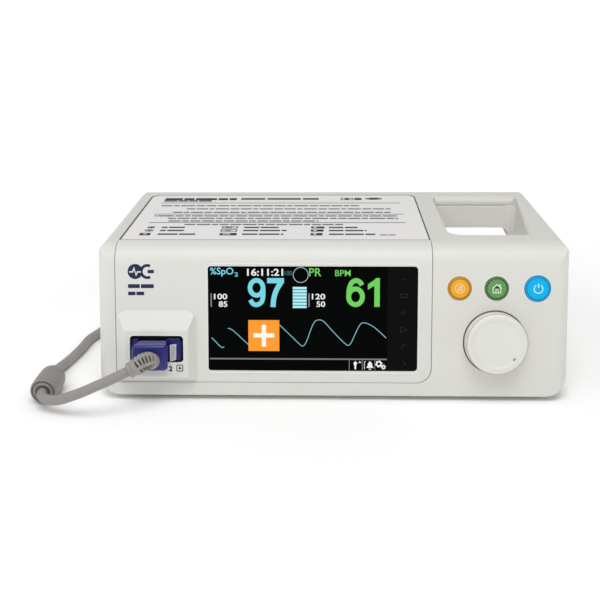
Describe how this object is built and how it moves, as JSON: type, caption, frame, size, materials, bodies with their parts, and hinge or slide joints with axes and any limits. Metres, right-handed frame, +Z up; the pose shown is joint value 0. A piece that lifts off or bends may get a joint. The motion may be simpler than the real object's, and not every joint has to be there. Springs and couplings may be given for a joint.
{
  "type": "patient monitor",
  "caption": "Bedside patient monitor with a leaning front, colour display, dial, keys, sunk carry handle and a plugged-in sensor cable.",
  "frame": {"origin": "on the table under the middle of the monitor's own box, cable left out", "axes": "+X to the right seen from the front, +Y to the rear, +Z up; the display faces -Y"},
  "size_m": [0.2908, 0.277, 0.082],
  "materials": {
    "case_plastic": "fine-textured moulded off-white plastic",
    "panel_plastic": "fine-textured moulded off-white plastic",
    "label_film": "satin printed polyester film",
    "display_glass": "dark hard-coated window",
    "gasket_foam": "closed-cell foam",
    "lcd_metal": "stamped frame",
    "circuit_board": "solder mask",
    "key_orange": "satin moulded",
    "key_green": "satin moulded",
    "key_blue": "satin moulded",
    "dial_white": "satin moulded",
    "shaft_steel": "turned",
    "nylon": "moulded",
    "port_navy": "moulded",
    "plug_navy": "satin moulded",
    "pad_grey": "moulded",
    "cable_jacket": "matte warm grey jacket",
    "ferrite_jacket": "matte warm grey overmould",
    "contact_gold": "plated",
    "tie_black": "hook-and-loop strap",
    "black_plastic": "moulded",
    "fuse_glass": "clear",
    "aluminium": "extruded",
    "winding": "varnished winding and core",
    "battery_wrap": "shrink wrap",
    "wire_red": "insulated wire",
    "ribbon_grey": "flat cable",
    "foot_rubber": "matte"
  },
  "bodies": {
    "monitor": {"main_housing": "case_plastic", "base_plate": "case_plastic", "rear_panel": "case_plastic", "handle_grip": "case_plastic", "battery_door": "case_plastic", "front_bezel": "panel_plastic", "top_label": "label_film", "rating_label": "label_film", "display_window": "display_glass", "display_gasket": "gasket_foam", "lcd_panel": "lcd_metal", "front_chassis": "lcd_metal", "main_board": "circuit_board", "sensor_board": "circuit_board", "key_board": "circuit_board", "power_board": "circuit_board", "encoder_body": "shaft_steel", "inlet_pins": "shaft_steel", "case_screws": "shaft_steel", "rear_screws": "shaft_steel", "door_screws": "shaft_steel", "data_port": "shaft_steel", "sensor_port": "port_navy", "cable_plug": "plug_navy", "plug_pad": "pad_grey", "plug_strain_relief": "cable_jacket", "sensor_cable": "cable_jacket", "cable_coil": "cable_jacket", "cable_tail": "cable_jacket", "ferrite_core": "ferrite_jacket", "cable_socket": "ferrite_jacket", "port_contacts": "contact_gold", "socket_contacts": "contact_gold", "mount_inserts": "contact_gold", "ground_post": "contact_gold", "coil_tie": "tie_black", "power_inlet": "black_plastic", "call_port": "black_plastic", "speaker": "black_plastic", "heat_sink": "aluminium", "transformer": "winding", "battery_pack": "battery_wrap", "battery_lead": "wire_red", "front_ribbon": "ribbon_grey", "feet": "foot_rubber"},
    "alarm_key": {"alarm_key": "key_orange"},
    "home_key": {"home_key": "key_green"},
    "power_key": {"power_key": "key_blue"},
    "dial_plunger": {"encoder_slider": "nylon"},
    "dial": {"dial_shaft": "shaft_steel", "dial_knob": "dial_white"},
    "fuse_tray": {"fuse_drawer": "black_plastic", "fuses": "fuse_glass"}
  },
  "joints": [
    {"name": "alarm_key_press", "type": "slide", "parent": "monitor", "child": "alarm_key", "axis": [0, 0.9731, -0.2304], "range_m": [0, 0.0009], "stiffness_N_per_m": 1200},
    {"name": "home_key_press", "type": "slide", "parent": "monitor", "child": "home_key", "axis": [0, 0.9731, -0.2304], "range_m": [0, 0.0009], "stiffness_N_per_m": 1200},
    {"name": "power_key_press", "type": "slide", "parent": "monitor", "child": "power_key", "axis": [0, 0.9731, -0.2304], "range_m": [0, 0.0009], "stiffness_N_per_m": 1200},
    {"name": "dial_press", "type": "slide", "parent": "monitor", "child": "dial_plunger", "axis": [0, 0.9731, -0.2304], "range_m": [0, 0.0005], "stiffness_N_per_m": 4000},
    {"name": "dial_turn", "type": "hinge", "parent": "dial_plunger", "child": "dial", "pos_m": [0.0876, -0.06849, 0.03172], "axis": [0, -0.9731, 0.2304], "continuous": true},
    {"name": "fuse_drawer_slide", "type": "slide", "parent": "monitor", "child": "fuse_tray", "axis": [0, 1, 0], "range_m": [0, 0.014]}
  ]
}
